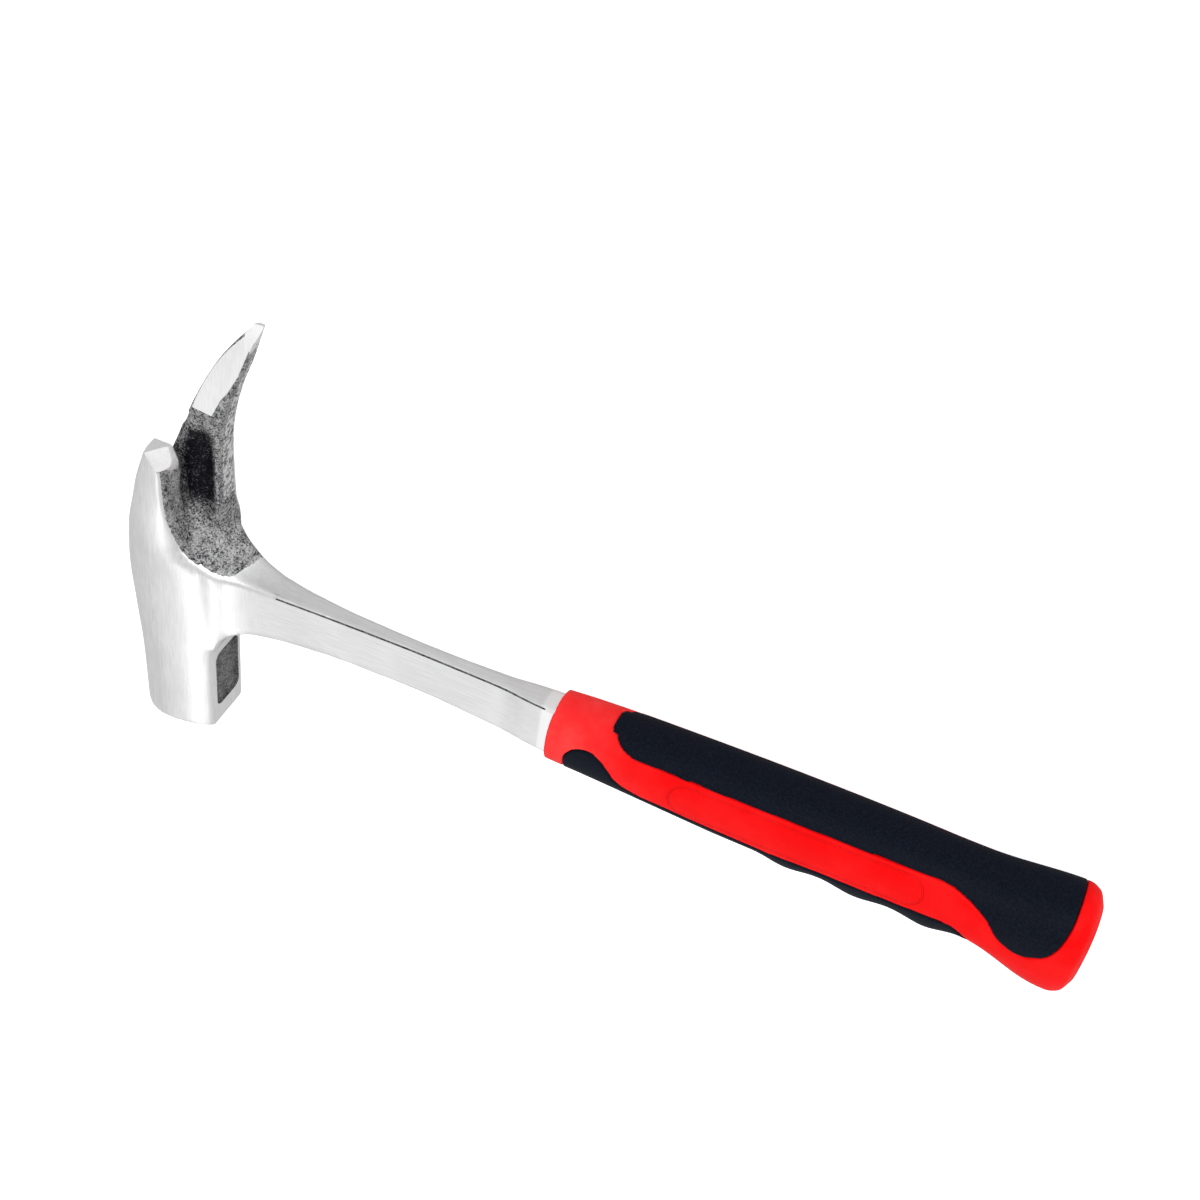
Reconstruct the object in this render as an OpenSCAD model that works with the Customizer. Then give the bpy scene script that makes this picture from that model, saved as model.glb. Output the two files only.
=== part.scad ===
// Roofing hammer: head, neck and tang forged in one piece of steel, with a two-colour moulded grip.
// It lies on its side. X runs along the handle to the butt, Y along the head to the pick's tip and
// Z across the thickness. Shapes are drawn about the point where the handle's axis crosses the head,
// then moved so that the origin is under the middle of the hammer, on the surface that it lies on.

/* [Head] */
// Handle axis to the striking face
face_reach = 63; // [56:1:71]
// Handle axis to the tip of the pick
pick_reach = 110; // [96:1:126]
// Width of the striker across its cheeks
head_w = 27; // [24:0.5:31]
// Handle axis crossing to the top of the crown
crown_h = 20; // [18:0.5:23]
// Handle axis crossing to the flat under the striker
pad_drop = 14.2; // [12.2:0.5:16.2]
// Width of the flat under the striker
pad_w = 22; // [18:0.5:23]
// Length of the recess in that flat
recess_len = 26; // [20:1:30]
// Width of the recess
recess_w = 14; // [10:0.5:16]
// Depth of the recess
recess_deep = 1; // [0.4:0.1:2]

/* [Claw] */
// Handle axis to the end of the short prong
prong_reach = 57; // [50:1:64]
// Width of the nail slot at its mouth
slot_mouth = 3.8; // [3.2:0.1:5]
// Width of the nail slot at its root
slot_root = 1.4; // [1:0.1:1.8]
// Radius of the hollow under the slot's root, where a nail's head goes
hollow_r = 5; // [4:0.5:6]
// Length of the nail slot
slot_len = 25; // [20:1:30]
// Width of the blunt end of the pick
pick_tip = 4; // [3:0.1:4.5]

/* [Neck] */
// Depth of the neck at its waist
neck_d = 18.6; // [16:0.2:21]
// Thickness of the neck at its waist
neck_t = 5.2; // [4.5:0.1:6.5]
// Depth of the bolster where the neck enters the grip
bolster_d = 21.4; // [19.5:0.2:22]
// Thickness of that bolster
bolster_t = 10.6; // [8:0.2:12]
// Depth of the tang inside the grip
tang_d = 14; // [11:0.5:16]
// Thickness of the tang
tang_t = 5; // [4:0.5:6]
// Diameter of the holes that key the moulding to the tang
key_hole = 6; // [4:0.5:8]

/* [Grip] */
// Handle axis crossing to the front rim of the grip
grip_start = 138; // [125:1:150]
// Length of the grip
grip_len = 177; // [150:1:210]
// Half depth at the rim, both sides
rim_half = 11.9; // [11.6:0.1:13]
// Half thickness at the rim
rim_half_t = 10.3; // [9:0.1:11.5]
// Half depth in the palm, on the claw side
palm_half = 16.8; // [15:0.2:19]
// Half depth under the fingers, on the striker side
finger_half = 12.3; // [11:0.2:14]
// Half thickness in the palm
palm_half_t = 13; // [11.5:0.1:14]
// Half depth of the flared butt
butt_half = 20; // [19:0.2:23]
// Half thickness of the flared butt, which the hammer lies on
butt_half_t = 14.3; // [14:0.1:16]
// Height of the ridges between the fingers
finger_ridge = 1.2; // [0:0.1:2]
// Spacing of those ridges
finger_pitch = 23; // [20:0.5:26]
// Thickness of the soft panels
panel_t = 2; // [1.2:0.1:3]
// Gap between the soft panels and the pocket that they sit in
panel_gap = 0.02; // [0.02:0.01:0.1]

/* [Hidden] */
steel = [0.78, 0.78, 0.78];
red = [0.93, 0.12, 0.12];
black = [0.09, 0.09, 0.1];
$fn = 32;
cut = 0.5;
butt_end = grip_start + grip_len;
tang_end = butt_end - 14;
mid = [(butt_end - crown_h) / 2, (pick_reach - face_reach) / 2, -butt_half_t];
key_xs = [for (i = [0:3]) grip_start + 32 + i * (grip_len - 70) / 3];

// Straight stretches between stations, rounded off by Hermite curves: stations are [place, value]
function steep(s, i) = (s[i + 1][1] - s[i][1]) / (s[i + 1][0] - s[i][0]);
function lean(s, i) = i == 0 ? steep(s, 0)
    : i == len(s) - 1 ? steep(s, i - 1)
    : steep(s, i - 1) * steep(s, i) <= 0 ? 0
    : 2 / (1 / steep(s, i - 1) + 1 / steep(s, i));
function span_of(s, at, i = 0) = i >= len(s) - 2 || at < s[i + 1][0] ? i : span_of(s, at, i + 1);
function ease(s, at) = let (
        i = span_of(s, at),
        w = s[i + 1][0] - s[i][0],
        t = min(1, max(0, (at - s[i][0]) / w))
    ) s[i][1] * (1 + 2 * t) * pow(1 - t, 2) + lean(s, i) * w * t * pow(1 - t, 2)
        + s[i + 1][1] * t * t * (3 - 2 * t) - lean(s, i + 1) * w * t * t * (1 - t);

// Curve from a to b that is pulled towards p
function bow(a, p, b, n, first = 0) = [for (i = [first:n]) let (t = i / n)
    pow(1 - t, 2) * a + 2 * t * (1 - t) * p + t * t * b];
// Corners ps with their edges cut back by rs and rounded
function toward(p, q, r) = p + r * (q - p) / norm(q - p);
function rounded(ps, rs, n) = let (k = len(ps)) [for (i = [0:k - 1]) each
    bow(toward(ps[i], ps[(i + k - 1) % k], rs[i]), ps[i], toward(ps[i], ps[(i + 1) % k], rs[i]), n)];

// Closed skin over a row of rings that all have the same number of points
module skin(rings) {
    n = len(rings[0]);
    m = len(rings);
    sides = [for (i = [0:m - 2], j = [0:n - 1], half = [0, 1]) let (k = (j + 1) % n)
        half == 0 ? [i * n + j, i * n + k, i * n + n + j] : [i * n + k, i * n + n + k, i * n + n + j]];
    ends = [[for (j = [n - 1:-1:0]) j], [for (j = [0:n - 1]) (m - 1) * n + j]];
    polyhedron(points = [for (r = rings) each r], faces = concat(sides, ends));
}

// ---- Head: a crowned bar along Y, with tapered cheeks down to the flat ----

crown_line = [[-face_reach, 3.4 - crown_h], [-36, 2.8 - crown_h], [-14, 1.2 - crown_h], [5, -crown_h],
    [20, 1 - crown_h], [34, 4.2 - crown_h], [44, 7 - crown_h], [prong_reach, 12 - crown_h]];
cheek_line = [[-face_reach, head_w / 2], [10, head_w / 2], [30, head_w / 2 - 0.6],
    [prong_reach, head_w / 2 - 2.3]];
crown_deep_line = [[-face_reach, 13.5], [10, 13], [34, 7.5], [44, 4.5], [prong_reach, 1.5]];
under_line = [[-face_reach, pad_drop], [10, pad_drop], [13, pad_drop - 1.5], [17, 8], [20, 5], [25, 2.8],
    [31, 1], [42, -0.3], [50, -0.8], [prong_reach, 15.4 - crown_h]];
under_half_line = [[-face_reach, pad_w / 2], [-20, pad_w / 2], [12, 8.5], [20, 9.5], [42, 11.4],
    [prong_reach, 11]];

function head_ring(y) = let (
        top = ease(crown_line, y),
        w = ease(cheek_line, y),
        deep = ease(crown_deep_line, y),
        under = ease(under_line, y),
        wu = ease(under_half_line, y),
        crown = [for (a = [0:15:90]) [top + deep * (1 - cos(a)), w * sin(a)]],
        shoulder = crown[6],
        corner = [under, wu],
        knee = shoulder + 0.5 * [under - shoulder[0], 0],
        cheek = bow(shoulder, knee, toward(corner, knee, 1), 4, 1),
        foot = [[under, wu - 1]],
        half = concat(crown, cheek, foot)
    ) [for (i = [0:len(half) - 1]) [half[i][0], y, -half[i][1]],
       for (i = [len(half) - 1:-1:1]) [half[i][0], y, half[i][1]]];

head_ys = [for (y = [-face_reach, -36, -20, -8, 2, 10, 13, 17, 20, 25, 31, 37, 43, 50, prong_reach]) y];

// ---- Pick: the long prong, deep at its root and curved to the handle ----

pick_root = 6;
pick_top_line = [[pick_root, 3 - crown_h], [22, 3.6 - crown_h], [34, 6.5 - crown_h], [46, 11 - crown_h],
    [57, 15.6 - crown_h], [66, 19.4 - crown_h], [81, 26 - crown_h], [95, 33.5 - crown_h],
    [pick_reach, 44.2 - crown_h]];
pick_under_line = [[pick_root, 15], [25, 14], [32, 12.4], [45, 12.2], [56, 12.6], [67, 14.2], [83, 18.6],
    [93, 22.5], [pick_reach, 44.2 - crown_h + pick_tip]];
pick_far_line = [[pick_root, 2 - head_w / 2], [30, 0.8 - head_w / 2], [45, 1.2 - head_w / 2],
    [78, 3.8 - head_w / 2], [pick_reach, -2 - pick_tip]];
pick_wall = -1;
pick_near_line = [[pick_root, pick_wall], [78, pick_wall], [pick_reach, -2]];
pick_draft = 2.4;
pick_ys = [pick_root, 20, 28, 36, 46, 57, 66, 74, 81, 88, 95, 103, pick_reach];

function pick_ring(y) = let (
        top = ease(pick_top_line, y),
        under = ease(pick_under_line, y),
        far = ease(pick_far_line, y),
        near = ease(pick_near_line, y),
        r = min(under - top, near - far) / 4,
        draft = pick_draft * (near - far) / head_w * 2
    ) [for (p = rounded([[top, near - draft], [top, far + draft / 2], [under, far], [under, near]],
        [r, r, 0.6 * r, 0.6 * r], 3)) [p[0], y, p[1]]];

// Wedge that parts the short prong from the pick's wall, wider towards the crown
slot_flare = 0.8;
function slot_ring(x, flare) = let (back = prong_reach - slot_len, front = prong_reach + cut)
    [[x, front, pick_wall - head_w], [x, back - 4, pick_wall - head_w], [x, back, pick_wall + slot_root],
        [x, front, pick_wall + slot_mouth + flare]];
module slot_cut() {
    skin([slot_ring(-2 * crown_h, 3 * slot_flare), slot_ring(-8, slot_flare / 2), slot_ring(2 * crown_h, 0)]);
}

// Scoop under the root of the slot
module hollow() {
    translate([hollow_r + 2, prong_reach - slot_len - 3.5, pick_wall + 2.5]) {
        sphere(r = hollow_r);
        rotate([-90, 0, 0]) cylinder(r = hollow_r, h = slot_len);
    }
}

// ---- Neck: a flat bar along X that spreads into the head and into the bolster ----

waist = 85;
neck_near_line = [[4, 17], [10, 14], [16, 11.8], [22, 10.6], [32, 10.2], [46, 9.9], [waist - 20, neck_d / 2],
    [waist, neck_d / 2], [grip_start - 20, 10], [grip_start, bolster_d / 2]];
neck_far_line = [[4, 30], [10, 28.5], [14, 26], [18.3, 21.7], [23, 18], [28.6, 14.4], [37, 11.3], [46, 9.9],
    [waist - 20, neck_d / 2], [waist, neck_d / 2], [grip_start - 20, 10], [grip_start, bolster_d / 2]];
neck_strike_line = [[4, -26], [pad_drop + 0.4, -25], [17, -19.5], [21, -15.8], [28, -12.6], [46, -10],
    [waist - 20, -neck_d / 2], [waist, -neck_d / 2], [grip_start - 20, -10.2], [grip_start, -bolster_d / 2]];
neck_half_line = [[4, pad_w / 2], [pad_drop, pad_w / 2 - 0.4], [20, 7.6], [28, 5.9], [46, 4.5],
    [waist - 20, neck_t / 2 + 0.6], [waist + 5, neck_t / 2], [grip_start - 20, neck_t / 2 + 0.6],
    [grip_start - 9, neck_t / 2 + 1.9], [grip_start, bolster_t / 2]];
neck_xs = [4, 9, pad_drop, 17, 20, 24, 28, 33, 39, 46, 55, waist - 20, 75, waist, 97, 108, grip_start - 20,
    grip_start - 12, grip_start - 6, grip_start, grip_start + 4];

function neck_ring(x) = let (
        near = ease(neck_near_line, x),
        far = ease(neck_far_line, x),
        strike = ease(neck_strike_line, x),
        h = ease(neck_half_line, x),
        r = 0.5 * h
    ) [for (p = rounded([[far, -h], [strike, -h], [strike, h], [near, h]], [r, 0.8 * r, 0.8 * r, r], 2))
        [x, p[0], p[1]]];

module tang(grow = 0) {
    translate([grip_start, -tang_d / 2 - grow, -tang_t / 2 - grow])
        cube([tang_end - grip_start + grow, tang_d + 2 * grow, tang_t + 2 * grow]);
}

module keys() {
    for (x = key_xs) translate([x, 0, -tang_t]) cylinder(d = key_hole, h = 2 * tang_t);
}

module recess() {
    r = 3;
    translate([pad_drop - recess_deep, -face_reach + 8 + recess_len / 2, 0]) rotate([0, 90, 0])
        linear_extrude(2 * recess_deep) for (a = [0, 90]) square([
            recess_w - (a == 0 ? 0 : 2 * r), recess_len - (a == 0 ? 2 * r : 0)], center = true);
    translate([pad_drop - recess_deep, -face_reach + 8 + recess_len / 2, 0]) rotate([0, 90, 0])
        for (z = [-1, 1], y = [-1, 1]) translate([z * (recess_w / 2 - r), y * (recess_len / 2 - r), 0])
            cylinder(r = r, h = 2 * recess_deep);
}

module forging() {
    color(steel) translate(-mid) difference() {
        union() {
            difference() {
                skin([for (y = head_ys) head_ring(y)]);
                slot_cut();
            }
            skin([for (y = pick_ys) pick_ring(y)]);
            skin([for (x = neck_xs) neck_ring(x)]);
            tang();
        }
        keys();
        recess();
        hollow();
    }
}

// ---- Grip: a rounded sleeve along X that swells in the palm and flares at the butt ----

ridge_xs = [for (i = [0:2]) butt_end - 93 + i * finger_pitch];
claw_side_line = [[grip_start, rim_half], [grip_start + 32, 14.2], [butt_end - 64, palm_half],
    [butt_end - 36, palm_half - 0.5], [butt_end - 9, butt_half - 0.2], [butt_end - 6, butt_half],
    [butt_end - 2.5, butt_half - 1.4], [butt_end, butt_half - 6]];
strike_side_line = [[grip_start, rim_half], [grip_start + 14, 11], [grip_start + 60, finger_half - 0.2],
    [ridge_xs[0], finger_half + 0.7], [butt_end - 48, finger_half + 0.6], [butt_end - 36, finger_half - 1],
    [butt_end - 8, butt_half], [butt_end - 6, butt_half], [butt_end - 2.5, butt_half - 1.4],
    [butt_end, butt_half - 6]];
thick_line = [[grip_start, rim_half_t], [grip_start + 12, 11.2], [grip_start + 70, palm_half_t - 0.4],
    [butt_end - 50, palm_half_t], [butt_end - 7, butt_half_t], [butt_end - 2.5, butt_half_t - 1.2],
    [butt_end, butt_half_t - 5]];
squareness = 2.4;

function ridges(x) = let (a = (x - ridge_xs[0]) / finger_pitch) a < -0.5 || a > 2.5 ? -finger_ridge
    : finger_ridge * cos(360 * a);
function ridge_share(x) = ease([[grip_start + 60, 0], [ridge_xs[0], 1], [ridge_xs[2] + 12, 1],
    [butt_end - 16, 0]], x);
function power(v) = sign(v) * pow(abs(v), 2 / squareness);
function grip_ring(x, inset) = let (
        up = ease(claw_side_line, x) - inset,
        down = ease(strike_side_line, x) + ridges(x) * ridge_share(x) - inset,
        t = ease(thick_line, x) - inset
    ) [for (a = [0:360 / 28:359]) [x, power(cos(a)) * (cos(a) > 0 ? up : down), -t * power(sin(a))]];
grip_xs = concat([grip_start, grip_start + 6, grip_start + 14, grip_start + 24, grip_start + 36,
    grip_start + 50, grip_start + 62], [for (i = [-0.5:0.25:2.75]) ridge_xs[0] + i * finger_pitch],
    [butt_end - 24, butt_end - 18, butt_end - 13, butt_end - 9, butt_end - 6, butt_end - 2.5, butt_end]);

module grip_skin(inset = 0) {
    skin([for (x = grip_xs) grip_ring(x, inset)]);
}

// Outline of the soft back panel, seen from the side, open to the claw side
module back_zone() {
    far = 2 * butt_half;
    front = grip_start + 19;
    rear = butt_end - 7;
    translate([0, 0, -far]) linear_extrude(2 * far) polygon(concat(
        [[front, far], [front, 13.6], [front + 2, 13]],
        bow([front + 4.5, 12.2], [front + 6.5, 9.3], [front + 13, 9.2], 4),
        [[front + 33, 10], [rear - 68, 11.5]],
        bow([rear - 40, 12.2], [rear - 31, 12], [rear - 23, 6.5], 4),
        bow([rear - 19.5, 2.6], [rear - 15, -1.4], [rear - 9, -0.5], 4),
        bow([rear - 5, 1.8], [rear - 1, 5], [rear, 17], 4),
        [[rear, far]]));
}

// Outline of the soft finger panel, seen from the side, open to the striker side
module finger_zone() {
    far = 2 * butt_half;
    front = grip_start + 7;
    rear = butt_end - 24;
    translate([0, 0, -far]) linear_extrude(2 * far) polygon(concat(
        [[front, -far], [front, -5]],
        bow([front, -1.6], [front + 1.5, 4.6], [front + 8, 5.4], 4),
        bow([front + 10.5, 4.9], [front + 15, 2.5], [front + 17.5, -1.3], 4),
        [[front + 21, -3.2], [front + 27, -4.4], [front + 65, -4.7]],
        [[rear - 62, -3.6], [rear - 30, -2.2], [rear - 16, -1.4]],
        bow([rear - 12, -2.2], [rear - 4, -5], [rear, -far], 4)));
}

// Room for the steel inside the moulding, which grips the tang, its keys and the bolster
module steel_room() {
    skin([for (x = [grip_start - cut, grip_start, grip_start + 4]) neck_ring(x)]);
    difference() {
        tang();
        keys();
    }
}

module grip_body() {
    color(red) translate(-mid) difference() {
        grip_skin();
        difference() {
            union() {
                back_zone();
                finger_zone();
            }
            grip_skin(panel_t);
        }
        steel_room();
    }
}

module panel(inset) {
    difference() {
        intersection() {
            grip_skin();
            children();
        }
        grip_skin(inset);
    }
}

module back_panel() {
    color(black) translate(-mid) panel(panel_t - panel_gap) back_zone();
}

module finger_panel() {
    color(black) translate(-mid) panel(panel_t - panel_gap) finger_zone();
}

forging();
grip_body();
back_panel();
finger_panel();
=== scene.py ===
import math

import bpy
import bmesh
from mathutils import Matrix, Vector


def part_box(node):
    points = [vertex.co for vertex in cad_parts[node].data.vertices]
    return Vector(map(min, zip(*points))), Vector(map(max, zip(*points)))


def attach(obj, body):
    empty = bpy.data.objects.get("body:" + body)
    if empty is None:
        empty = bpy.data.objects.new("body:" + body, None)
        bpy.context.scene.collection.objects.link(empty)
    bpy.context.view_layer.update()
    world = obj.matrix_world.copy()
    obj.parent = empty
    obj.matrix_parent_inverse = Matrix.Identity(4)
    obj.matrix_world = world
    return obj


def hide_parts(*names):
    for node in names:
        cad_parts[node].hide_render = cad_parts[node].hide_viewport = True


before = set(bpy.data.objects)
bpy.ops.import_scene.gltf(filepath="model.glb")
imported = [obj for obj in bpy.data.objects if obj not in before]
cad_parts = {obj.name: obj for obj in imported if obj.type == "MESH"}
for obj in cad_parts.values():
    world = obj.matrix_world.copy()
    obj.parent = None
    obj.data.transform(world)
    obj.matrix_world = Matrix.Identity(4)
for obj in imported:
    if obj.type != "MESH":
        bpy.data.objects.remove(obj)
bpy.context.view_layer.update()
bpy.ops.object.select_all(action="DESELECT")


# ---- Forging ----
# Striker, claw, neck and tang are one piece of steel. It is drop forged and its outside is then
# ground and brushed, while the hollow of the claw and the recess keep their dark scale.
# The tang runs down the inside of the grip, which is moulded round it and through its four holes.

MM = 0.001
CROWN_H = 20.0
FACE_REACH = 63.0
PRONG_REACH = 57.0
PICK_REACH = 110.0
PAD_DROP = 14.2
PICK_WALL = -1.0
GRIP_START = 138.0
BUTT_END = 315.0
BUTT_HALF_T = 14.3
TANG_LENGTH = 163.0
TANG_DEPTH = 14.0
TANG_T = 5.0
KEY_RADIUS = 3.0
FIRST_KEY = 32.0
LAST_KEY = 139.0
STEEL_VOXEL = 0.5 * MM

steel_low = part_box("forging")[0]
crossing = Vector((steel_low[0] + CROWN_H * MM, steel_low[1] + FACE_REACH * MM, BUTT_HALF_T * MM))


def place(x, y, z):
    """A point given in millimetres from where the handle's axis crosses the head."""
    return crossing + Vector((x, y, z)) * MM


def ramp(value, width):
    """0 up to 0, and 1 from the width on."""
    return min(1, max(0, value / width))


def steep(stations, i):
    """Slope of the stretch after one station."""
    return (stations[i + 1][1] - stations[i][1]) / (stations[i + 1][0] - stations[i][0])


def lean(stations, i):
    """Slope of the fair curve at one station."""
    if i == 0:
        return steep(stations, 0)
    if i == len(stations) - 1:
        return steep(stations, i - 1)
    before = steep(stations, i - 1)
    after = steep(stations, i)
    return 0 if before * after <= 0 else 2 / (1 / before + 1 / after)


def ease(stations, at):
    """The value at one place on a fair curve through stations of (place, value)."""
    i = 0
    while i < len(stations) - 2 and at >= stations[i + 1][0]:
        i += 1
    width = stations[i + 1][0] - stations[i][0]
    t = ramp(at - stations[i][0], width)
    return (
        stations[i][1] * (1 + 2 * t) * (1 - t) ** 2
        + lean(stations, i) * width * t * (1 - t) ** 2
        + stations[i + 1][1] * t * t * (3 - 2 * t)
        - lean(stations, i + 1) * width * t * t * (1 - t)
    )


def bow(a, pull, b, count, first=0):
    """Points along a curve from a to b that is pulled towards a third point."""
    shares = [i / count for i in range(first, count + 1)]
    return [
        tuple((1 - t) ** 2 * p + 2 * t * (1 - t) * q + t * t * r for p, q, r in zip(a, pull, b))
        for t in shares
    ]


def steps(start, end, pitch):
    """Even places from start to end, no further apart than the pitch."""
    count = math.ceil((end - start) / pitch)
    return [start + (end - start) * i / count for i in range(count + 1)]


def rounded(corners, radii, count):
    """Corners of a section with their edges cut back by the radii and rounded."""
    outline = []
    for i, corner in enumerate(corners):
        here = Vector(corner)
        before = Vector(corners[i - 1]) - here
        after = Vector(corners[(i + 1) % len(corners)]) - here
        start = here + before.normalized() * radii[i]
        end = here + after.normalized() * radii[i]
        outline += bow(start, here, end, count)
    return outline


def wrap(name, rings):
    """A grid wrapped round a row of rings, sewn along its seam and closed at both ends."""
    around = len(rings[0])
    along = len(rings)
    bpy.ops.mesh.primitive_grid_add(x_subdivisions=around, y_subdivisions=along - 1, size=2)
    piece = bpy.context.object
    piece.name = name
    for v in piece.data.vertices:
        column = round((v.co.x + 1) / 2 * around) % around
        row = round((v.co.y + 1) / 2 * (along - 1))
        v.co = place(*rings[row][column])
    bpy.ops.object.mode_set(mode="EDIT")
    bpy.ops.mesh.select_all(action="SELECT")
    bpy.ops.mesh.remove_doubles(threshold=0.002 * MM)
    bpy.ops.mesh.fill_holes(sides=0)
    bpy.ops.mesh.select_all(action="SELECT")
    bpy.ops.mesh.normals_make_consistent(inside=False)
    bpy.ops.object.mode_set(mode="OBJECT")
    return piece


def weld(pieces, voxel):
    """Joins overlapping pieces and remeshes them into one skin."""
    bpy.ops.object.select_all(action="DESELECT")
    for piece in pieces:
        piece.select_set(True)
    bpy.context.view_layer.objects.active = pieces[0]
    bpy.ops.object.join()
    remesh = pieces[0].modifiers.new("weld", "REMESH")
    remesh.mode = "VOXEL"
    remesh.voxel_size = voxel
    bpy.ops.object.modifier_apply(modifier=remesh.name)
    return pieces[0]


def combine(piece, other, operation):
    """Applies one boolean between two pieces and removes the other. Cut faces keep its material."""
    bpy.ops.object.select_all(action="DESELECT")
    piece.select_set(True)
    bpy.context.view_layer.objects.active = piece
    boolean = piece.modifiers.new("cut", "BOOLEAN")
    boolean.operation = operation
    boolean.solver = "EXACT"
    boolean.material_mode = "TRANSFER"
    boolean.object = other
    bpy.ops.object.modifier_apply(modifier=boolean.name)
    bpy.data.objects.remove(other)
    return piece


def soften(piece, repeat, chosen=None):
    """Smooths a piece's skin, or only where the rule chosen holds for a point and its normal."""
    bpy.ops.object.select_all(action="DESELECT")
    piece.select_set(True)
    bpy.context.view_layer.objects.active = piece
    bpy.ops.object.mode_set(mode="EDIT")
    bpy.ops.mesh.select_all(action="DESELECT")
    mesh = bmesh.from_edit_mesh(piece.data)
    for v in mesh.verts:
        at = (v.co - crossing) / MM
        v.select = chosen is None or chosen(at, v.normal)
    mesh.select_flush_mode()
    bmesh.update_edit_mesh(piece.data)
    bpy.ops.mesh.vertices_smooth(factor=0.5, repeat=repeat)
    bpy.ops.object.mode_set(mode="OBJECT")


def prism(name, outline, low, high, material, tilt=None):
    """A block with an outline in X and Y, from one height to another. tilt(x, y) moves its floor."""
    bpy.ops.mesh.primitive_circle_add(vertices=len(outline), radius=1, fill_type="NGON")
    block = bpy.context.object
    block.name = name
    for v, (x, y) in zip(block.data.vertices, outline):
        v.co = place(x, y, low + (tilt(x, y) if tilt else 0))
    bpy.ops.object.mode_set(mode="EDIT")
    bpy.ops.mesh.select_all(action="SELECT")
    bpy.ops.mesh.extrude_region_move(TRANSFORM_OT_translate={"value": (0, 0, (high - low) * MM)})
    bpy.ops.mesh.select_all(action="SELECT")
    bpy.ops.mesh.normals_make_consistent(inside=False)
    bpy.ops.object.mode_set(mode="OBJECT")
    block.data.materials.append(material)
    return block


def group(name, inputs, outputs):
    """An empty shader node group with inputs of (name, default) and named outputs, all of them floats."""
    tree = bpy.data.node_groups.new(name, "ShaderNodeTree")
    for label, default in inputs:
        socket = tree.interface.new_socket(name=label, in_out="INPUT", socket_type="NodeSocketFloat")
        socket.default_value = default
    for label in outputs:
        tree.interface.new_socket(name=label, in_out="OUTPUT", socket_type="NodeSocketFloat")
    return tree


class Nodes:
    """A short way to add shader nodes to a tree and to link them."""

    def __init__(self, tree):
        self.tree = tree

    def add(self, kind, inputs=None, **settings):
        node = self.tree.nodes.new("ShaderNode" + kind)
        for name, value in settings.items():
            setattr(node, name, value)
        for name, value in (inputs or {}).items():
            self.put(node.inputs[name], value)
        return node

    def put(self, socket, value):
        if isinstance(value, bpy.types.NodeSocket):
            self.tree.links.new(value, socket)
        else:
            socket.default_value = value

    def math(self, operation, first, second=0.0, clamp=False):
        node = self.add("Math", {0: first, 1: second}, operation=operation, use_clamp=clamp)
        return node.outputs[0]

    def mix(self, share, first, second):
        node = self.add("Mix", {0: share, 6: first, 7: second}, data_type="RGBA")
        return node.outputs[2]

    def between(self, value, low, high):
        """0 below low and 1 above high, with a smooth step between them."""
        node = self.add("MapRange", {0: value, 1: low, 2: high}, interpolation_type="SMOOTHSTEP")
        return node.outputs[0]

    def noise(self, vector, scale, detail=3.0, roughness=0.5):
        values = {"Vector": vector, "Scale": scale, "Detail": detail, "Roughness": roughness}
        return self.add("TexNoise", values).outputs["Fac"]

    def stretched(self, vector, scale):
        """Coordinates stretched by three factors, so that a noise on them turns into lines."""
        node = self.add("Mapping", {"Vector": vector, "Scale": scale}, vector_type="POINT")
        return node.outputs[0]


def material(name):
    """A new material, its nodes and its main shader."""
    made = bpy.data.materials.new(name)
    made.use_nodes = True
    return made, Nodes(made.node_tree), made.node_tree.nodes["Principled BSDF"]


def object_space(nodes):
    return nodes.add("TexCoord").outputs["Object"]


# Brushed and ground steel: fine lines along the way each stretch was ground, and faint clouds
brushing = group("brushing", [("Fineness", 1.0)], ["Lines", "Clouds"])
lines = Nodes(brushing)
fineness = brushing.nodes.new("NodeGroupInput").outputs["Fineness"]
group_out = brushing.nodes.new("NodeGroupOutput")
at = lines.add("TexCoord").outputs["Object"]
along_neck = lines.noise(lines.stretched(at, (60, 2000, 2000)), fineness, 4.0, 0.6)
along_head = lines.noise(lines.stretched(at, (1800, 120, 1500)), fineness, 4.0, 0.6)
split = lines.add("SeparateXYZ", {0: at})
on_neck = lines.between(split.outputs["X"], crossing.x + 20 * MM, crossing.x + 40 * MM)
both = lines.add("Mix", {0: on_neck, 2: along_head, 3: along_neck}, data_type="FLOAT")
lines.tree.links.new(both.outputs[0], group_out.inputs["Lines"])
lines.tree.links.new(lines.noise(at, 55.0, 3.0, 0.55), group_out.inputs["Clouds"])

# Forge scale: a fine and a coarse mottle
scale_grain = group("scale_grain", [("Size", 1.0)], ["Mottle"])
grain = Nodes(scale_grain)
grain_in = scale_grain.nodes.new("NodeGroupInput")
grain_out = scale_grain.nodes.new("NodeGroupOutput")
at = grain.add("TexCoord").outputs["Object"]
fine = grain.noise(at, grain.math("MULTIPLY", grain_in.outputs["Size"], 1500.0), 5.0, 0.8)
coarse = grain.noise(at, grain.math("MULTIPLY", grain_in.outputs["Size"], 330.0), 4.0, 0.6)
mottle = grain.math("ADD", grain.math("MULTIPLY", fine, 0.75), grain.math("MULTIPLY", coarse, 0.25))
grain.tree.links.new(mottle, grain_out.inputs["Mottle"])


def use(nodes, tree, **values):
    """A shared group with its own values."""
    node = nodes.add("Group", node_tree=tree)
    for name, value in values.items():
        nodes.put(node.inputs[name], value)
    return node


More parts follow.
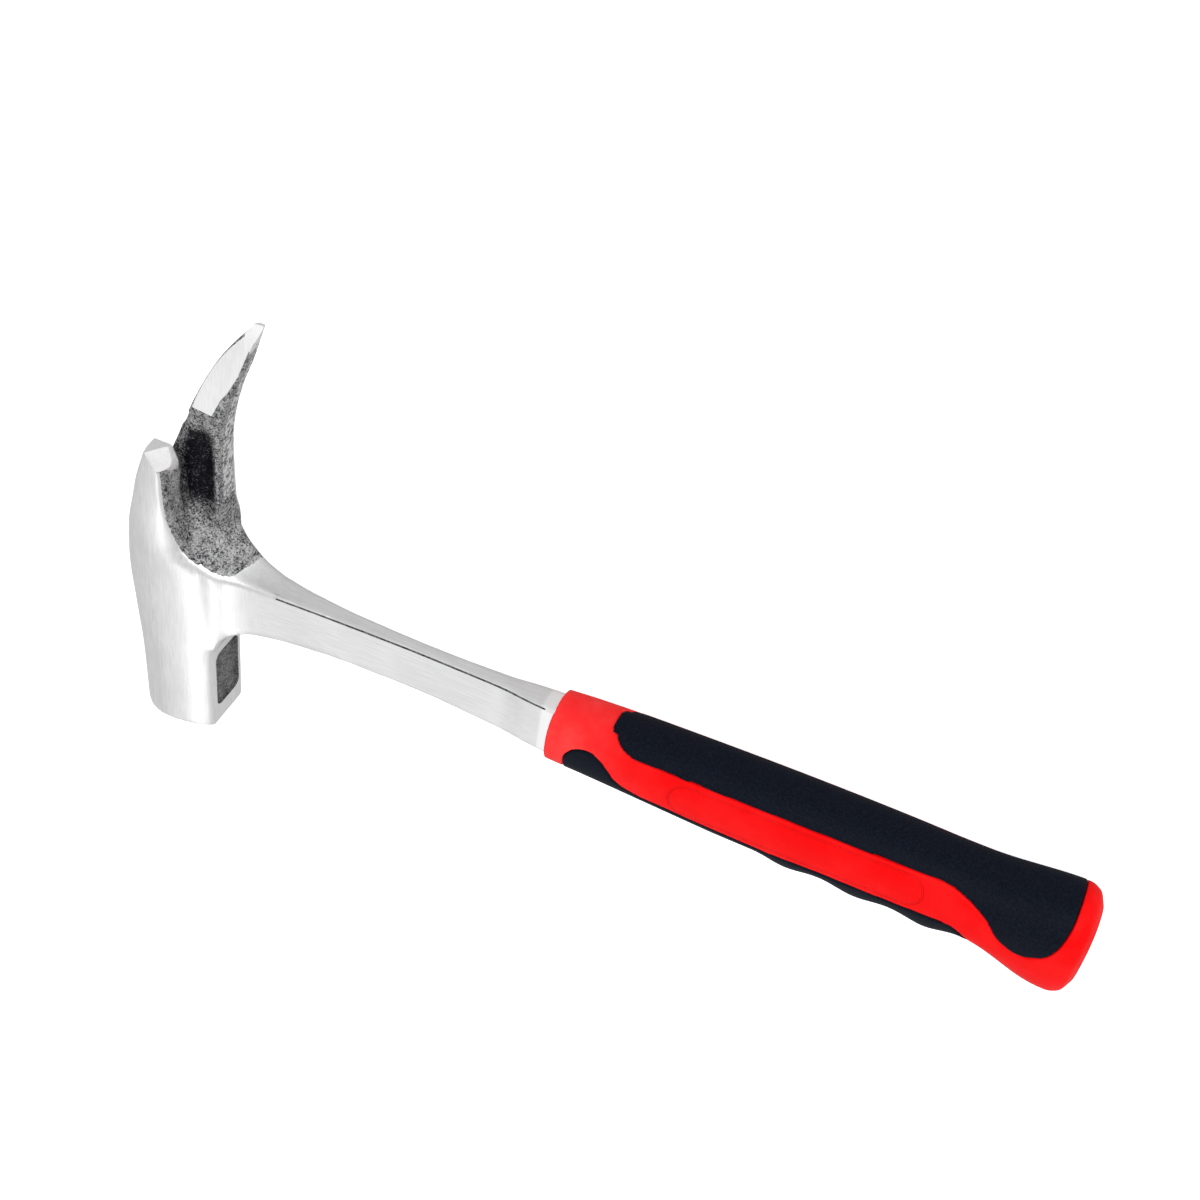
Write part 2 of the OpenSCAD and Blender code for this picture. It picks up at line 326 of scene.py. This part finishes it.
def scale_finish(nodes, size, light, core=None):
    """Colour and height of forge scale with light flecks; core is where painted shade makes it blackest."""
    patches = use(nodes, scale_grain, Size=size)
    share = nodes.between(patches.outputs["Mottle"], 0.41, 0.59)
    colour = nodes.mix(share, (0.020, 0.021, 0.026, 1), (light, light, light, 1))
    if core is not None:
        # Painted shade: where core is high the scale is mixed to near black, with a ragged edge from the
        # mottle.
        rough_edge = nodes.math("SUBTRACT", 0.5, patches.outputs["Mottle"])
        ragged_shade = nodes.math("ADD", core, nodes.math("MULTIPLY", rough_edge, 2.6))
        black = nodes.between(ragged_shade, 0.2, 0.95)
        colour = nodes.mix(black, colour, (0.002, 0.002, 0.005, 1))
    return colour, patches.outputs["Mottle"]


def ground_finish(nodes, bright, fineness):
    """Colour, roughness and height of ground steel."""
    marks = use(nodes, brushing, Fineness=fineness)
    dark = tuple(0.88 * c for c in bright[:3]) + (1,)
    tone = nodes.add("Mix", {0: 0.65, 2: marks.outputs["Clouds"], 3: marks.outputs["Lines"]}).outputs[0]
    colour = nodes.mix(nodes.between(tone, 0.36, 0.64), dark, bright)
    rough = nodes.add("MapRange", {0: marks.outputs["Lines"], 1: 0.25, 2: 0.75, 3: 0.26, 4: 0.42}).outputs[0]
    return colour, rough, marks.outputs["Lines"]


# Forge scale on its own, for the recess and the slot
scale_steel, nodes, shader = material("forge_scale")
colour, height = scale_finish(nodes, 0.8, 0.30)
nodes.put(shader.inputs["Base Color"], colour)
shader.inputs["Metallic"].default_value = 0.55
shader.inputs["Roughness"].default_value = 0.55
bump = nodes.add("Bump", {"Strength": 0.9, "Distance": 1.2 * MM, "Height": height})
nodes.put(shader.inputs["Normal"], bump.outputs[0])

# Freshly ground facets, brighter and finer than the brushed outside
facet_steel, nodes, shader = material("ground_facet")
colour, rough, height = ground_finish(nodes, (0.97, 0.97, 0.97, 1), 1.4)
nodes.put(shader.inputs["Base Color"], colour)
nodes.put(shader.inputs["Roughness"], rough)
shader.inputs["Metallic"].default_value = 0.3
bump = nodes.add("Bump", {"Strength": 0.12, "Distance": 0.05 * MM, "Height": height})
nodes.put(shader.inputs["Normal"], bump.outputs[0])

# The outside: brushed steel that gives way to forge scale where the attribute "scale" is 1, with painted
# shade that blackens the scale where the attribute "core" is high
outer_steel, nodes, shader = material("brushed_steel")
colour, rough, lines_height = ground_finish(nodes, (0.85, 0.85, 0.855, 1), 1.0)
along = nodes.add("SeparateXYZ", {0: object_space(nodes)}).outputs["X"]
polished = nodes.between(along, crossing.x + 133 * MM, crossing.x + 134.5 * MM)
colour = nodes.mix(polished, colour, (0.98, 0.98, 0.98, 1))
left = nodes.add("Attribute", attribute_name="scale", attribute_type="GEOMETRY")
# Painted shade: the attribute core darkens the scale to near black in the scoop and on the pick's wall beside
# it.
core = nodes.add("Attribute", attribute_name="core", attribute_type="GEOMETRY")
ragged = nodes.math("MULTIPLY", nodes.math("SUBTRACT", nodes.noise(object_space(nodes), 700.0), 0.5), 0.9)
left_on = nodes.between(nodes.math("ADD", left.outputs["Fac"], ragged), 0.42, 0.58)
dark, scale_height = scale_finish(nodes, 1.0, 0.52, core.outputs["Fac"])
nodes.put(shader.inputs["Base Color"], nodes.mix(left_on, colour, dark))
nodes.put(shader.inputs["Roughness"], nodes.add("Mix", {0: left_on, 2: rough, 3: 0.6}).outputs[0])
nodes.put(shader.inputs["Metallic"], nodes.math("SUBTRACT", 1.0, nodes.math("MULTIPLY", left_on, 0.5)))
faint_lines = nodes.math("MULTIPLY", lines_height, 0.05)
height = nodes.add("Mix", {0: left_on, 2: faint_lines, 3: scale_height}).outputs[0]
bump = nodes.add("Bump", {"Strength": 0.6, "Distance": 0.25 * MM, "Height": height})
nodes.put(shader.inputs["Normal"], bump.outputs[0])
shader.inputs["Specular IOR Level"].default_value = 0.15

# Lines of the head along Y: (place, value), read from the striking face to the tip of the short prong
crown_line = [(-63, -16.6), (-36, -17.2), (-14, -18.8), (5, -20), (20, -19), (34, -15.8), (44, -13), (57, -8)]
cheek_line = [(-63, 13.5), (10, 13.5), (30, 12.9), (57, 11.2)]
crown_deep_line = [(-63, 13.5), (10, 13), (34, 7.5), (44, 4.5), (57, 1.5)]
under_line = [
    (-63, 14.2), (10, 14.2), (13, 12.7), (17, 8), (20, 5),
    (25, 2.8), (31, 1), (42, -0.3), (50, -0.8), (57, -4.6),
]
under_half_line = [(-63, 9.3), (-20, 9.3), (12, 8.5), (20, 9.5), (42, 11.4), (57, 11)]
belly_line = [(-63, 0), (36, 0), (42, 0.8), (48.5, 2), (57, 3.4)]


def head_ring(y):
    """One section of the head: a round crown, upright cheeks and a flat under side."""
    top = ease(crown_line, y)
    half = ease(cheek_line, y)
    deep = ease(crown_deep_line, y)
    under = ease(under_line, y)
    foot = ease(under_half_line, y)
    turns = [math.radians(a) for a in range(0, 91, 6)]
    side = [(top + deep * (1 - math.cos(a)), half * math.sin(a)) for a in turns]
    shoulder = side[-1]
    knee = (shoulder[0] + 0.52 * (under - shoulder[0]), half)
    back = Vector(knee) - Vector((under, foot))
    edge = Vector((under, foot)) + back.normalized()
    side += bow(shoulder, knee, tuple(edge), 12, 1) + [(under, foot - 1), (under + ease(belly_line, y), 2.5)]
    mirrored = [(x, -z) for x, z in reversed(side[1:])]
    return [(x, y, z) for x, z in side + mirrored]


head = wrap("forging", [head_ring(y) for y in steps(-FACE_REACH, PRONG_REACH, 1.0)])
weld([head], STEEL_VOXEL)

# Past the hollow only the upper half goes on, as the short prong
far_half = prism("far_half", [(-40, 28), (40, 28), (40, 60), (-40, 60)], -30, PICK_WALL + 1.3, scale_steel)
combine(head, far_half, "DIFFERENCE")

# Lines of the pick along Y
pick_top_line = [
    (6, -17), (22, -15.6), (34, -11.5), (46, -7), (57, -2.7),
    (66, 0.6), (81, 7), (95, 14.4), (110, 25),
]
pick_under_line = [
    (6, 15), (25, 14), (32, 12.4), (45, 12.2), (56, 12.6),
    (67, 14.2), (83, 18.6), (93, 22.5), (110, 28.2),
]
pick_far_line = [(6, -11.5), (30, -12.7), (45, -12.3), (78, -9.7), (110, -6)]
pick_near_line = [(6, PICK_WALL), (78, PICK_WALL), (110, -1.6)]


def pick_ring(y):
    """One section of the pick: four sides, flat on the wall of the slot."""
    top = ease(pick_top_line, y)
    under = ease(pick_under_line, y)
    far = ease(pick_far_line, y)
    near = ease(pick_near_line, y)
    r = min(under - top, near - far) / 4
    draft = 0.1 * (near - far)
    corners = [(top, near - draft), (top, far + draft / 2), (under, far), (under, near)]
    return [(x, y, z) for x, z in rounded(corners, [0.35 * r, r, 0.5 * r, 0.35 * r], 6)]


pick = wrap("pick", [pick_ring(y) for y in steps(6, PICK_REACH, 1.0)])

# Lines of the neck along X: its claw side on the upper and the lower face, its striker side, its half width
neck_near_line = [
    (4, 17), (10, 14), (16, 11.8), (22, 10.6), (32, 10.2),
    (46, 9.9), (65, 9.3), (85, 9.3), (118, 10), (GRIP_START, 10.7),
]
neck_far_line = [
    (4, 30), (10, 28.5), (14, 26), (18.3, 21.7), (23, 18), (28.6, 14.4),
    (37, 11.3), (46, 9.9), (65, 9.3), (85, 9.3), (118, 10), (GRIP_START, 10.7),
]
neck_strike_line = [
    (4, -26), (14.6, -25), (17, -19.5), (21, -15.8), (28, -12.6),
    (46, -10), (65, -9.3), (85, -9.3), (118, -10.2), (GRIP_START, -10.7),
]
neck_half_line = [
    (4, 10.4), (14.2, 9.7), (20, 7.5), (28, 5.9), (46, 4.5),
    (65, 3.2), (90, 2.6), (118, 3.2), (129, 4.5), (GRIP_START, 5.3),
]


def neck_ring(x):
    """One section of the neck: a flat bar that spreads into the head and into the bolster."""
    near = ease(neck_near_line, x)
    far = ease(neck_far_line, x)
    strike = ease(neck_strike_line, x)
    half = ease(neck_half_line, x)
    r = 0.5 * half
    corners = [(far, -half), (strike, -half), (strike, half), (near, half)]
    return [(x, y, z) for y, z in rounded(corners, [r, 0.6 * r, 0.6 * r, 0.5 * r], 6)]


neck = wrap("neck", [neck_ring(x) for x in steps(4, GRIP_START + 6, 1.0)])

bpy.ops.mesh.primitive_cube_add(size=1)
tang = bpy.context.object
bpy.ops.object.mode_set(mode="EDIT")
bpy.ops.transform.resize(value=(TANG_LENGTH * MM, TANG_DEPTH * MM, TANG_T * MM))
bpy.ops.transform.translate(value=place(GRIP_START + TANG_LENGTH / 2, 0, 0))
bpy.ops.object.mode_set(mode="OBJECT")

forging = weld([head, pick, neck, tang], STEEL_VOXEL)

# The scoop under the root of the slot: a ball drawn out along the claw
bpy.ops.mesh.primitive_uv_sphere_add(segments=32, ring_count=16, radius=5.5 * MM)
scoop = bpy.context.object
bpy.ops.object.mode_set(mode="EDIT")
bpy.ops.mesh.select_all(action="DESELECT")
mesh = bmesh.from_edit_mesh(scoop.data)
for v in mesh.verts:
    v.select = v.co.y > 0.1 * MM
bpy.ops.transform.translate(value=(0, 30 * MM, 0))
bpy.ops.mesh.select_all(action="SELECT")
bpy.ops.transform.translate(value=place(7, 29.5, 2))
bpy.ops.object.mode_set(mode="OBJECT")
combine(forging, scoop, "DIFFERENCE")
forging = weld([forging], STEEL_VOXEL)

# Eased skin, most of all where the cheeks run into the neck, in the corner under the claw and in its hollow
soften(forging, 3)
soften(forging, 60, lambda p, n: abs(n.z) > 0.75 and -2 < p.x < 60 and -30 < p.y < 8)
soften(forging, 12, lambda p, n: 12 < p.x < 37 and 6 < p.y < 34)
soften(forging, 60, lambda p, n: -1 < p.x < 15 and 15 < p.y < 68 and -8 < p.z < 3)

# The nail slot, wider towards the crown and towards the tip
slot = prism("slot", [(-40, 28), (40, 28), (40, 58), (-40, 58)], -13, 3, scale_steel)
for v in slot.data.vertices:
    at = (v.co - crossing) / MM
    if at.z > 0:
        root = PICK_WALL + 1.4 if at.y < 40 else PICK_WALL + 3.8
        flare = 0.02 * max(0, -at.x) if at.y > 40 else 0
        v.co = place(at.x, 32 if at.y < 40 else at.y, root + flare)
    else:
        v.co = place(at.x, at.y, PICK_WALL)
combine(forging, slot, "DIFFERENCE")

# Ground facets: on the wall of the pick, across its tip and under the end of the short prong
wall_outline = [
    (-20, 71.2), (10.8, 70.7), (14.3, 78.5), (16.9, 82.3),
    (20.6, 90), (25.7, 104.5), (28, 116), (-20, 116),
]
tip_outline = [(8, 100), (36, 92), (46, 125), (18, 133)]
bevel_outline = [(-7.6, 59.1), (-2.5, 51), (4.55, 51), (-0.54, 59.1)]


def wall_tilt(x, y):
    return 0.08 * (x - 10.8) - 0.045 * (y - 71)


def tip_tilt(x, y):
    return -0.5 * (y - 106.5 + 0.28 * (x - 24))


def bevel_tilt(x, y):
    return -1.553 * (x + 6.3) - 0.976 * (y - 57)


for name, outline, low, high, tilt in (
    ("wall_facet", wall_outline, -1.4, 20, wall_tilt),
    ("tip_facet", tip_outline, -2.3, 20, tip_tilt),
    ("prong_bevel", bevel_outline, 10.8, 30, bevel_tilt),
):
    combine(forging, prism(name, outline, low, high, facet_steel, tilt), "DIFFERENCE")

# The fine line where the ground face of the neck meets its edge, on both sides
LINE_RADIUS = 0.42
line_turns = [i * math.pi / 4 for i in range(8)]
for side in (-1, 1):
    rings = []
    for x in steps(37, 135, 1.5):
        y = ease(neck_near_line, x) - 0.75
        z = side * (ease(neck_half_line, x) + 0.04)
        rings.append([(x, y + LINE_RADIUS * math.cos(a), z + LINE_RADIUS * math.sin(a)) for a in line_turns])
    line = wrap("line", rings)
    line.data.materials.append(scale_steel)
    combine(forging, line, "DIFFERENCE")

# The recess under the striker: a shallow pocket with round corners
bpy.ops.mesh.primitive_cube_add(size=1)
recess = bpy.context.object
bpy.ops.object.mode_set(mode="EDIT")
bpy.ops.transform.resize(value=(2 * MM, 26 * MM, 14 * MM))
bpy.ops.transform.translate(value=place(PAD_DROP, -42, 0))
bpy.ops.mesh.select_all(action="DESELECT")
mesh = bmesh.from_edit_mesh(recess.data)
for edge in mesh.edges:
    edge.select = abs((edge.verts[0].co - edge.verts[1].co).x) > MM
bpy.ops.mesh.bevel(offset=3 * MM, segments=6)
bpy.ops.object.mode_set(mode="OBJECT")
recess.data.materials.append(scale_steel)
combine(forging, recess, "DIFFERENCE")

# The four holes in the tang
for i in range(4):
    bpy.ops.mesh.primitive_cylinder_add(vertices=32, radius=KEY_RADIUS * MM, depth=20 * MM)
    key = bpy.context.object
    bpy.ops.object.mode_set(mode="EDIT")
    bpy.ops.transform.translate(value=place(GRIP_START + FIRST_KEY + i * (LAST_KEY - FIRST_KEY) / 3, 0, 0))
    bpy.ops.object.mode_set(mode="OBJECT")
    combine(forging, key, "DIFFERENCE")

# Where the forge scale is left: the under side of the claw, its hollow and the walls of the pick
forging.data.materials[0] = outer_steel
scale_mark = forging.data.attributes.new("scale", "FLOAT", "POINT")
# The attribute core holds painted shade for the scoop and for the pick's wall beside it.
scoop_shade_mark = forging.data.attributes.new("core", "FLOAT", "POINT")
hollow_end = [(-14, 31), (-9, 28), (0, 24), (8, 19.5), (14, 16)]


def side_face(p):
    """Where the pick's wall ends and its under side begins."""
    return ease(pick_under_line, min(PICK_REACH, max(6, p.y))) - 1.2


def scale_left(p, n):
    """How much scale is left at a point with its normal: 0 where grinding has taken it all off."""
    off_cheek = 1 - ramp(n.z - 0.5, 0.25) if p.z > 3 else 1
    inside = ramp(p.y - 7, 2) * ramp(ease(hollow_end, p.z) - p.x + 1, 2)
    off_crown = 1 if n.x > -0.15 or p.z < 2.5 else 0
    off_prong_end = ramp(52.2 - p.y - 0.44 * (11 - p.z), 1) if p.z > 1 else 1
    off_far_side = 0 if p.z < -11 or p.y > 108 else 1
    # Half the scale on the far part of the pick's under side, which makes it lighter there.
    lighter_under_side = 0.5 if n.x > 0.6 and p.z < -4.5 and p.y > 34 and p.x > side_face(p) else 1
    return off_cheek * inside * off_crown * off_prong_end * off_far_side * lighter_under_side


def scoop_shade_depth(p):
    """How much painted shade blackens the scale: most in the scoop and on the pick's wall beside it."""
    groove = (p.xy - Vector((6, max(29.5, p.y)))).length
    depth = 0.3 * ramp(6 - groove, 2.5)
    depth += 0.5 * ramp(side_face(p) + 3 - p.x, 6) * ramp(p.y - 26, 10)
    depth += 0.65 * math.exp(-(((p.x - 4.5) / 5.5) ** 2) - ((p.y - 45) / 13) ** 2)
    return min(1, depth) * ramp(68 - p.y, 8) if p.z < 1.5 else 0


for v in forging.data.vertices:
    at = (v.co - crossing) / MM
    scale_mark.data[v.index].value = scale_left(at, v.normal)
    scoop_shade_mark.data[v.index].value = scoop_shade_depth(at)

bpy.ops.object.select_all(action="DESELECT")
forging.select_set(True)
bpy.context.view_layer.objects.active = forging
bpy.ops.object.shade_smooth_by_angle(angle=math.radians(40))
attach(forging, "root")
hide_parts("forging")


# ---- Grip body ----
# Hard red plastic, moulded round the tang in one shot. Its flared butt keeps the hand from slipping
# off, and it has two shallow pockets for the soft panels, which are moulded on afterwards.

RIDGE_PITCH = 23.0
RIDGE_XS = [BUTT_END - 93 + i * RIDGE_PITCH for i in range(3)]
RIDGE_HEIGHT = 1.2
GRIP_POINTS = 96
SQUARENESS = 2.4
PANEL_T = 2.0
PANEL_PROUD = 0.08
PANEL_GAP = 0.12
SEAT_OVERLAP = 0.02
GRIP_VOXEL = 0.45 * MM

# Lines of the grip along X: its reach to the claw side and to the striker side, and its half thickness
claw_side_line = [
    (GRIP_START, 11.9), (170, 14.2), (251, 16.8), (279, 16.3),
    (306, 19.8), (309, 20), (312.5, 18.6), (BUTT_END, 14),
]
strike_side_line = [
    (GRIP_START, 11.9), (152, 11), (198, 12.1), (222, 13), (267, 12.9),
    (279, 11.3), (307, 20), (309, 20), (312.5, 18.6), (BUTT_END, 14),
]
thick_line = [
    (GRIP_START, 10.3), (150, 11.2), (208, 12.6), (265, 13),
    (308, 14.3), (312.5, 13.1), (BUTT_END, 9.3),
]
ridge_share_line = [(198, 0), (222, 1), (280, 1), (299, 0)]


def grip_ring(x, inset):
    """One section of the grip, drawn in by the inset: a squarish oval with a ridge towards the striker."""
    up = ease(claw_side_line, x) - inset
    turn = (x - RIDGE_XS[0]) / RIDGE_PITCH
    ridge = -RIDGE_HEIGHT if turn < -0.5 or turn > 2.5 else RIDGE_HEIGHT * math.cos(2 * math.pi * turn)
    down = ease(strike_side_line, x) + ridge * ease(ridge_share_line, x) - inset
    half = ease(thick_line, x) - inset
    ring = []
    for i in range(GRIP_POINTS):
        a = 2 * math.pi * i / GRIP_POINTS
        y = math.copysign(abs(math.cos(a)) ** (2 / SQUARENESS), math.cos(a))
        z = math.copysign(abs(math.sin(a)) ** (2 / SQUARENESS), math.sin(a))
        ring.append((x, y * (up if y > 0 else down), half * z))
    return ring


def grip_skin(name, inset, start=GRIP_START, end=BUTT_END):
    return wrap(name, [grip_ring(x, inset) for x in steps(start, end, 0.75)])


# Lines of the long edges of the two panels
back_edge_line = [(170, 9.2), (190, 10), (240, 11.5), (268, 12.2)]
finger_edge_line = [(170, -4.4), (210, -4.7), (229, -3.6), (261, -2.2), (276, -1.4)]


def back_outline(gap):
    """Outline of the back panel, seen from the side, drawn in by the gap."""
    front = GRIP_START + 19 + gap
    rear = BUTT_END - 7 - gap
    outline = [(front + 0.3, 40), (front + 0.3, 12.7 + gap)]
    outline += bow((front + 3, 12.2 + gap), (front + 7.5, 8.6 + gap), (front + 15, 9.3 + gap), 10)
    outline += [(x, ease(back_edge_line, x) + gap) for x in range(176, 266, 6)]
    outline += bow((rear - 40, 12.2 + gap), (rear - 31, 12 + gap), (rear - 23, 6.5 + gap), 10)
    outline += bow((rear - 19.5, 2.6 + gap), (rear - 15, -1.4 + gap), (rear - 9, -0.5 + gap), 10)
    outline += bow((rear - 5, 1.8 + gap), (rear - 1, 5 + gap), (rear, 17), 10)
    return outline + [(rear, 40)]


def finger_outline(gap):
    """Outline of the finger panel, seen from the side, drawn in by the gap."""
    front = GRIP_START + 7 + gap
    rear = BUTT_END - 24 - gap
    outline = [(front, -40), (front, -5)]
    outline += bow((front, -1.6 - gap), (front + 1.5, 4.6 - gap), (front + 8, 5.4 - gap), 8)
    outline += bow((front + 10.5, 4.9 - gap), (front + 15, 2.5 - gap), (front + 17.5, -1.3 - gap), 8)
    outline += [(front + 21, -3.2 - gap), (front + 27, -4.4 - gap)]
    outline += [(x, ease(finger_edge_line, x) - gap) for x in range(178, 272, 6)]
    outline += bow((rear - 16, -1.4 - gap), (rear - 5, -3 - gap), (rear, -40), 12)
    return outline


red_plastic, nodes, shader = material("red_plastic")
at = object_space(nodes)
clouds = nodes.noise(at, 70.0, 3.0, 0.6)
colour = nodes.mix(nodes.between(clouds, 0.35, 0.7), (0.90, 0.0008, 0.0015, 1), (0.98, 0.006, 0.007, 1))
split = nodes.add("SeparateXYZ", {0: at})
# Painted sheen: towards the front of the grip the red is mixed paler and pinker, fading out from 146 to 176
# mm along.
rear = nodes.between(split.outputs["X"], crossing.x + 146 * MM, crossing.x + 176 * MM)
painted_sheen_red = nodes.mix(nodes.between(clouds, 0.35, 0.7), (0.98, 0.024, 0.026, 1), (0.98, 0.055, 0.052, 1))
colour = nodes.mix(rear, painted_sheen_red, colour)
nodes.put(shader.inputs["Base Color"], colour)
nodes.put(shader.inputs["Roughness"], nodes.add("MapRange", {0: clouds, 3: 0.42, 4: 0.56}).outputs[0])

# The long flat on the cheek: an outline with round ends, pressed in by a fraction of a millimetre
from_start = nodes.math("SUBTRACT", split.outputs["X"], crossing.x + 187 * MM)
past_end = nodes.math("MAXIMUM", nodes.math("SUBTRACT", from_start, 72 * MM), 0.0)
before = nodes.math("MINIMUM", from_start, 0.0)
along = nodes.math("ADD", past_end, before)
drift = nodes.math("MULTIPLY", from_start, 0.035)
across = nodes.math("SUBTRACT", nodes.math("SUBTRACT", split.outputs["Y"], crossing.y + 2.6 * MM), drift)
along_squared = nodes.math("MULTIPLY", along, along)
across_squared = nodes.math("MULTIPLY", across, across)
reach = nodes.math("SQRT", nodes.math("ADD", along_squared, across_squared))
edge = nodes.math("ABSOLUTE", nodes.math("SUBTRACT", reach, 5.6 * MM))
groove = nodes.math("SUBTRACT", 1.0, nodes.between(edge, 0.1 * MM, 0.5 * MM))
grain_height = nodes.noise(at, 1800.0, 2.0, 0.5)
height = nodes.math("SUBTRACT", nodes.math("MULTIPLY", grain_height, 0.12), groove)
bump = nodes.add("Bump", {"Strength": 0.9, "Distance": 0.35 * MM, "Height": height})
nodes.put(shader.inputs["Normal"], bump.outputs[0])
shader.inputs["Specular IOR Level"].default_value = 0.07

# The moulding, with pockets for the panels and room for the bolster and the tang
grip_body = grip_skin("grip_body", 0)
for outline, name in ((back_outline(0), "back_pocket"), (finger_outline(0), "finger_pocket")):
    pocket = prism(name, outline, -30, 30, red_plastic)
    core = grip_skin("core", PANEL_T, GRIP_START - 3, BUTT_END + 3)
    combine(pocket, core, "DIFFERENCE")
    combine(grip_body, pocket, "DIFFERENCE")
sleeve = wrap("sleeve", [neck_ring(x) for x in steps(GRIP_START - 1, GRIP_START + 4, 1.0)])
combine(grip_body, sleeve, "DIFFERENCE")
bpy.ops.mesh.primitive_cube_add(size=1)
tang_room = bpy.context.object
bpy.ops.object.mode_set(mode="EDIT")
bpy.ops.transform.resize(value=((TANG_LENGTH - 3) * MM, TANG_DEPTH * MM, TANG_T * MM))
bpy.ops.transform.translate(value=place(GRIP_START + 3 + (TANG_LENGTH - 3) / 2, 0, 0))
bpy.ops.object.mode_set(mode="OBJECT")
combine(grip_body, tang_room, "DIFFERENCE")
grip_body = weld([grip_body], GRIP_VOXEL)
soften(grip_body, 3)
grip_body.data.materials.clear()
grip_body.data.materials.append(red_plastic)
bpy.ops.object.shade_smooth()
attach(grip_body, "root")
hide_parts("grip_body")


# ---- Soft panels ----
# Black thermoplastic rubber, moulded into the pockets of the grip in a second shot. One panel runs
# down the claw side and ends in a round lobe; the other runs under the fingers, with low ridges.

black_rubber, nodes, shader = material("black_rubber")
at = object_space(nodes)
speckle = nodes.noise(at, 1600.0, 3.0, 0.7)
colour = nodes.mix(nodes.between(speckle, 0.35, 0.75), (0.001, 0.0022, 0.007, 1), (0.006, 0.010, 0.020, 1))
nodes.put(shader.inputs["Base Color"], colour)
nodes.put(shader.inputs["Roughness"], nodes.add("MapRange", {0: speckle, 3: 0.50, 4: 0.66}).outputs[0])
bump = nodes.add("Bump", {"Strength": 0.35, "Distance": 0.1 * MM, "Height": speckle})
nodes.put(shader.inputs["Normal"], bump.outputs[0])
shader.inputs["Specular IOR Level"].default_value = 0.08


def soft_panel(name, outline):
    """A panel cut from a thin shell of the grip by its outline."""
    panel = prism(name, outline, -30, 30, black_rubber)
    combine(panel, grip_skin("outside", -PANEL_PROUD, GRIP_START - 3, BUTT_END), "INTERSECT")
    core = grip_skin("core", PANEL_T - SEAT_OVERLAP, GRIP_START - 3, BUTT_END + 3)
    combine(panel, core, "DIFFERENCE")
    panel = weld([panel], GRIP_VOXEL)
    soften(panel, 3)
    panel.data.materials.clear()
    panel.data.materials.append(black_rubber)
    bpy.ops.object.shade_smooth()
    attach(panel, "root")
    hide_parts(name)
    return panel


back_panel = soft_panel("back_panel", back_outline(PANEL_GAP))
finger_panel = soft_panel("finger_panel", finger_outline(PANEL_GAP))


# ---- Table and light ----
# A plain white table under soft studio light: a narrow key behind the striker, a wide softbox above
# it, a fill over the grip and an even surround. Where it is seen directly the table is lifted a
# little, so that it stays white.

bpy.ops.mesh.primitive_plane_add(size=6)
floor = bpy.context.object
floor.name = "table"
pale, nodes, shader = material("pale_table")
shader.inputs["Base Color"].default_value = (0.68, 0.68, 0.68, 1)
shader.inputs["Roughness"].default_value = 0.8
seen = nodes.add("LightPath").outputs["Is Camera Ray"]
nodes.put(shader.inputs["Emission Color"], nodes.mix(seen, (0, 0, 0, 1), (0.9, 0.9, 0.9, 1)))
shader.inputs["Emission Strength"].default_value = 1.0
floor.data.materials.append(pale)

middle = place(60, 10, 0)


def softbox(name, towards, distance, width, height, power):
    """A soft light that faces the head from a direction."""
    away = Vector(towards).normalized()
    bpy.ops.object.light_add(type="AREA", location=middle + away * distance)
    light = bpy.context.object
    light.name = name
    light.data.shape = "RECTANGLE"
    light.data.size = width
    light.data.size_y = height
    light.data.energy = power
    light.rotation_euler = away.to_track_quat("Z", "Y").to_euler()


softbox("key", (-0.01, -0.70, 0.71), 1.2, 0.11, 0.9, 0.6)
softbox("wide", (0.0, -0.70, 0.70), 1.4, 1.2, 1.0, 0.8)
softbox("fill", (0.50, 0.75, 0.85), 1.4, 0.8, 0.8, 8)

world = bpy.data.worlds.new("surround")
bpy.context.scene.world = world
world.use_nodes = True
world.node_tree.nodes["Background"].inputs["Color"].default_value = (1, 1, 1, 1)
world.node_tree.nodes["Background"].inputs["Strength"].default_value = 0.72
bpy.context.scene.view_settings.view_transform = "Standard"


# ---- Camera ----
# It looks down across the hammer from beside the claw, turned so that the head stands up the frame.

camera_data = bpy.data.cameras.new("camera")
camera_data.lens = 54
camera_data.sensor_width = 36
camera = bpy.data.objects.new("camera", camera_data)
bpy.context.collection.objects.link(camera)
bpy.context.scene.camera = camera
right = Vector((0.909, 0.120, -0.400)).normalized()
back = Vector((0.209, 0.699, 0.684)).normalized()
up = back.cross(right).normalized()
right = up.cross(back)
turned = Matrix((right, up, back)).transposed().to_4x4()
camera.matrix_world = Matrix.Translation(place(257.4, 434.9, 366.8)) @ turned
